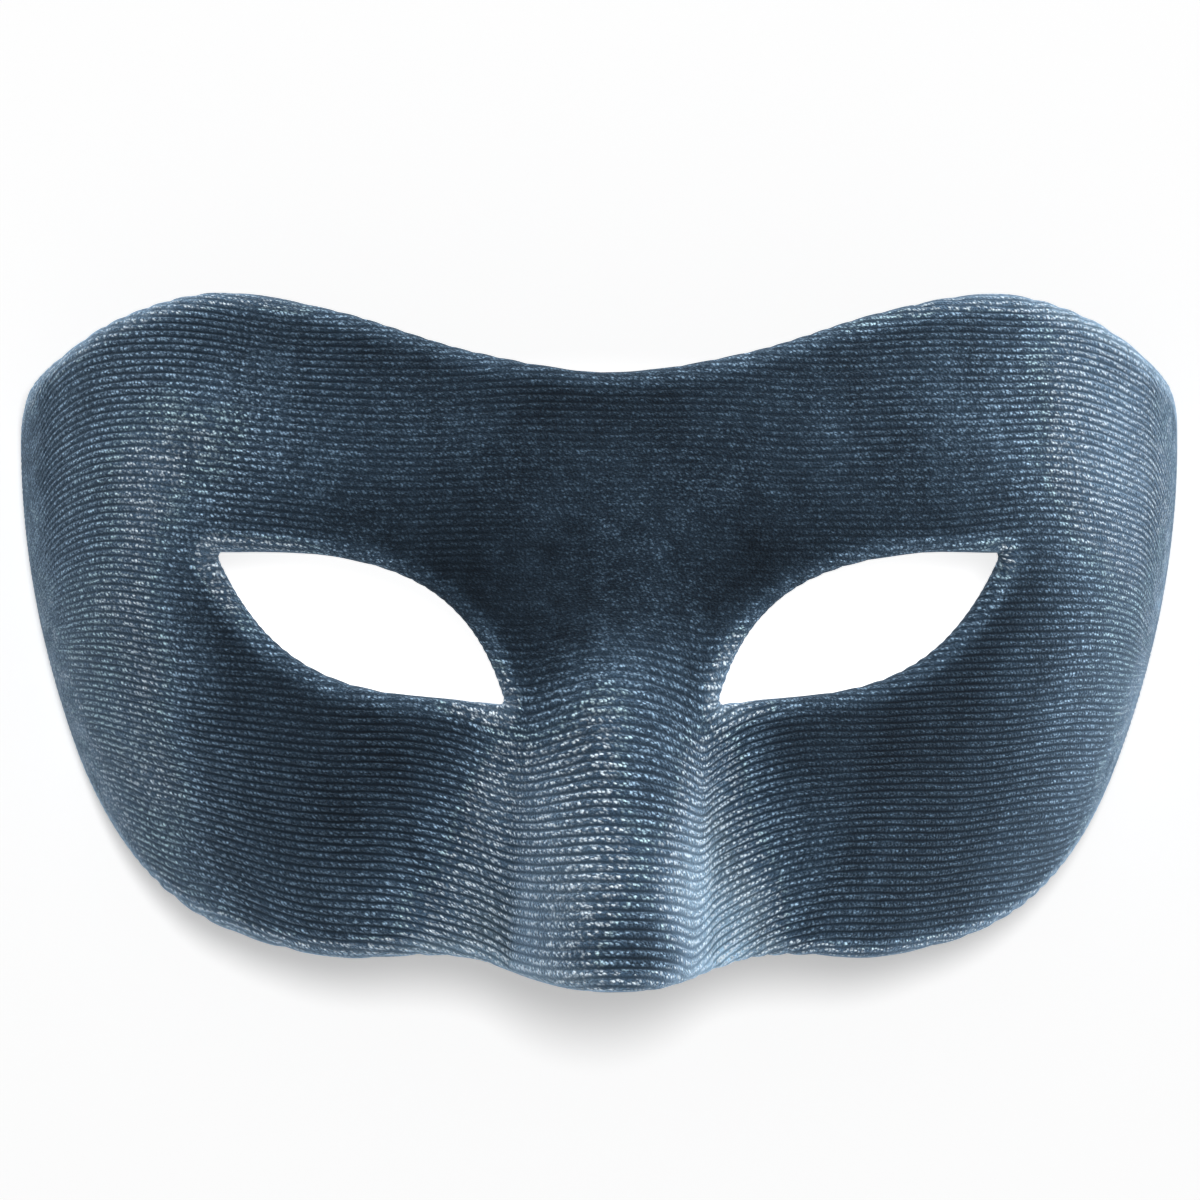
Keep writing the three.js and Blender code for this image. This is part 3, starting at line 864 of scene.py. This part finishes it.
def pale_floor():
    """A pale floor that glows a little all over like a light table, and more in a patch under the middle of
    the mask: painted light that fills the shade under the mask's hollow.
    """
    n = Nodes("pale_floor")
    place = n.add("SeparateXYZ", {0: n.add("TexCoord").outputs["Object"]})
    across = n.math("POWER", n.math("DIVIDE", place.outputs[0], 0.078), 2.0)
    up = n.math("POWER", n.math("DIVIDE", n.math("SUBTRACT", place.outputs[1], 0.004), 0.036), 2.0)
    reach = n.math("ADD", across, up)
    n.shader.inputs["Base Color"].default_value = (0.86, 0.86, 0.86, 1)
    n.shader.inputs["Roughness"].default_value = 0.9
    n.shader.inputs["Specular IOR Level"].default_value = 0.1
    n.shader.inputs["Emission Color"].default_value = (1, 1, 1, 1)
    n.feed(n.shader.inputs["Emission Strength"], n.ramp(reach, 0.3, 1.2, 0.93, 0.44))
    mesh = bpy.data.meshes.new("floor")
    mesh.from_pydata([(-2, -2, 0), (2, -2, 0), (2, 2, 0), (-2, 2, 0)], [], [(0, 1, 2, 3)])
    mesh.materials.append(n.material)
    floor = bpy.data.objects.new("floor", mesh)
    bpy.context.scene.collection.objects.link(floor)
    return floor


def area_light(name, place, size, power, receivers):
    """A soft round light aimed at the mask, that lights only the objects it is given."""
    data = bpy.data.lights.new(name, "AREA")
    data.shape = "DISK"
    data.size = size
    data.energy = power
    light = bpy.data.objects.new(name, data)
    light.location = place
    light.rotation_euler = (Vector((0, 0, 0.03)) - Vector(place)).to_track_quat("-Z", "Y").to_euler()
    bpy.context.scene.collection.objects.link(light)
    lit = bpy.data.collections.new(name + "_lit")
    for receiver in receivers:
        lit.objects.link(receiver)
    light.light_linking.receiver_collection = lit


def studio(floor, pieces):
    world = bpy.data.worlds.new("studio")
    world.use_nodes = True
    world.node_tree.nodes["Background"].inputs["Color"].default_value = (1, 1, 1, 1)
    world.node_tree.nodes["Background"].inputs["Strength"].default_value = 0.12
    bpy.context.scene.world = world
    area_light("above_floor", (0.01, 0.12, 1.15), 0.20, 7.0, [floor])
    area_light("above", (0.02, 0.18, 1.15), 0.30, 2.0, pieces)
    area_light("right_side", (0.74, -0.04, 0.44), 1.50, 15, pieces)
    area_light("left_side", (-0.76, 0.10, 0.36), 1.50, 7, pieces)
    area_light("far_side", (0.10, 0.78, 0.36), 1.20, 9, pieces)
    bpy.context.scene.view_settings.view_transform = "Standard"


def photo_camera():
    """Above the mask, one metre up and turned a little to the viewer's left."""
    data = bpy.data.cameras.new("camera")
    data.sensor_width = 36
    data.lens = LENS
    camera = bpy.data.objects.new("camera", data)
    aim = Vector((0, AIM_Y - MIDDLE_Y, REST_DEPTH))
    back = Vector((-math.sin(CAMERA_TURN), 0, math.cos(CAMERA_TURN)))
    camera.location = (aim + back * CAMERA_DISTANCE) * MM
    camera.rotation_euler = (0, -CAMERA_TURN, 0)
    bpy.context.scene.collection.objects.link(camera)
    bpy.context.scene.camera = camera


photo_camera()
floor = pale_floor()
shell = moulded_shell(shell_material())
cover = velvet_cover(velvet_material())
for piece, node, slot in ((shell, "moulded_shell", "shell"), (cover, "velvet_cover", "velvet")):
    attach(piece, "root")
    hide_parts(node)

studio(floor, [shell, cover])
